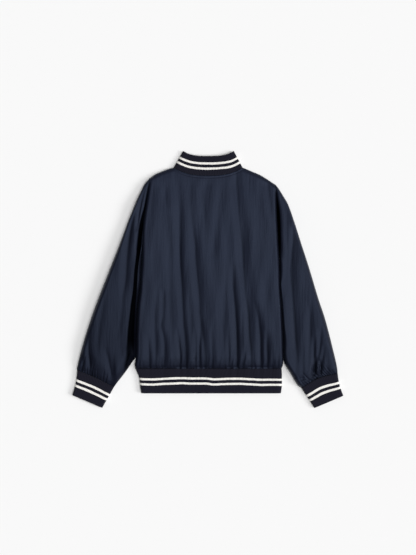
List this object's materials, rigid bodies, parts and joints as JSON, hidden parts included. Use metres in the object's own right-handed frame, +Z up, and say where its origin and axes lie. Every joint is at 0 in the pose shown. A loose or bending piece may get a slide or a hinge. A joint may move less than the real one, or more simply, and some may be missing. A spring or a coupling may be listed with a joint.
{
  "type": "varsity jacket",
  "caption": "Varsity jacket laid flat front down, plain shell with set-in sleeves gathered into striped rib knit collar, cuffs and hem, closed by press studs",
  "frame": {"origin": "the middle of the jacket's outline, on the surface that it lies on", "axes": "+X across the back to the wearer's right, +Y from the hem to the neck, +Z up out of the back"},
  "size_m": [0.812, 0.7695, 0.0302],
  "materials": {
    "shell_cloth": "navy nylon taffeta with a soft sheen",
    "rib_knit": "dark navy rib knit with two off-white knitted-in stripes",
    "snap_metal": "satin navy enamel on brass caps"
  },
  "bodies": {
    "root": {"back_panel": "shell_cloth", "front_left": "shell_cloth", "front_right": "shell_cloth", "sleeve_left": "shell_cloth", "sleeve_right": "shell_cloth", "collar": "rib_knit", "cuff_left": "rib_knit", "cuff_right": "rib_knit", "hem_rib": "rib_knit", "snap_1": "snap_metal", "snap_2": "snap_metal", "snap_3": "snap_metal", "snap_4": "snap_metal", "snap_5": "snap_metal", "snap_6": "snap_metal", "snap_7": "snap_metal"}
  },
  "joints": []
}
